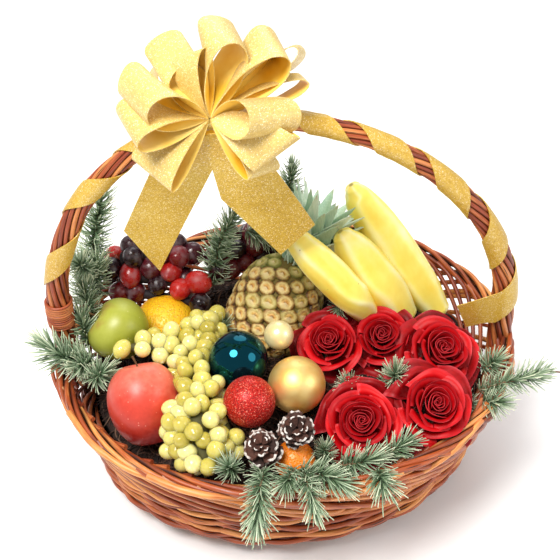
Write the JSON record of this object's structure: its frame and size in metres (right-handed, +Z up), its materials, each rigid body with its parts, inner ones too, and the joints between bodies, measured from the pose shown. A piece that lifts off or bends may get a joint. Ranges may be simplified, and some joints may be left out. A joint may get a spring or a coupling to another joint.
{
  "type": "fruit and flower gift basket",
  "caption": "Oval willow basket with a hoop handle and gold pull bow, filled with fruit, roses, baubles, pine cones and fir sprigs.",
  "frame": {"origin": "on the surface that the basket stands on, in its flat underside, straight below the middle of the handle", "axes": "+X along the handle's span, to the right as the front is seen; -Y is the front, where the bow, the baubles and the roses face; +Z up"},
  "size_m": [0.5256, 0.4338, 0.5245],
  "materials": {
    "willow": "varnished split willow, satin",
    "dark_willow": "dark stained willow rods, satin",
    "gold_ribbon": "glittered gold face, satin back",
    "packing": "dark shredded packing, matt",
    "orange_peel": "pitted peel, satin",
    "green_apple_skin": "waxy skin",
    "red_apple_skin": "waxy skin",
    "bauble_teal_finish": "polished",
    "bauble_red_finish": "glittered",
    "bauble_gold_finish": "satin metallic",
    "bauble_pearl_finish": "pearl",
    "pineapple_skin": "rough rind",
    "banana_skin": "smooth peel, satin",
    "grapes_green_skin": "translucent skin",
    "grapes_dark_left_skin": "skin with a grey bloom",
    "grapes_dark_right_skin": "skin with a grey bloom",
    "rose_petal": "velvety petals",
    "cone_scale": "dry scales with pale tips",
    "fir_needle": "dusty needles"
  },
  "bodies": {
    "root": {"apple_green": "green_apple_skin", "apple_red": "red_apple_skin", "banana_back": "banana_skin", "banana_front": "banana_skin", "banana_middle": "banana_skin", "basket": "willow", "bauble_gold": "bauble_gold_finish", "bauble_pearl": "bauble_pearl_finish", "bauble_red": "bauble_red_finish", "bauble_teal": "bauble_teal_finish", "bow": "gold_ribbon", "fir_between_roses": "fir_needle", "fir_by_cone": "fir_needle", "fir_front_back": "fir_needle", "fir_front_hanging": "fir_needle", "fir_front_left_star": "fir_needle", "fir_front_middle": "fir_needle", "fir_front_right": "fir_needle", "fir_front_star": "fir_needle", "fir_high_back": "fir_needle", "fir_left_dark": "fir_needle", "fir_left_outer": "fir_needle", "fir_left_rim": "fir_needle", "fir_left_star": "fir_needle", "fir_left_tall": "fir_needle", "fir_middle_back": "fir_needle", "fir_middle_branch": "fir_needle", "fir_right_long": "fir_needle", "fir_right_star": "fir_needle", "fir_under_banana": "fir_needle", "grapes_dark_left": "grapes_dark_left_skin", "grapes_dark_right": "grapes_dark_right_skin", "grapes_green": "grapes_green_skin", "handle": "dark_willow", "handle_ribbon": "gold_ribbon", "handle_tie": "dark_willow", "orange": "orange_peel", "packing_bed": "packing", "pine_cone_left": "cone_scale", "pine_cone_right": "cone_scale", "pineapple": "pineapple_skin", "rose_back_left": "rose_petal", "rose_back_middle": "rose_petal", "rose_back_right": "rose_petal", "rose_front_left": "rose_petal", "rose_front_right": "rose_petal", "tangerine": "orange_peel"}
  },
  "joints": []
}
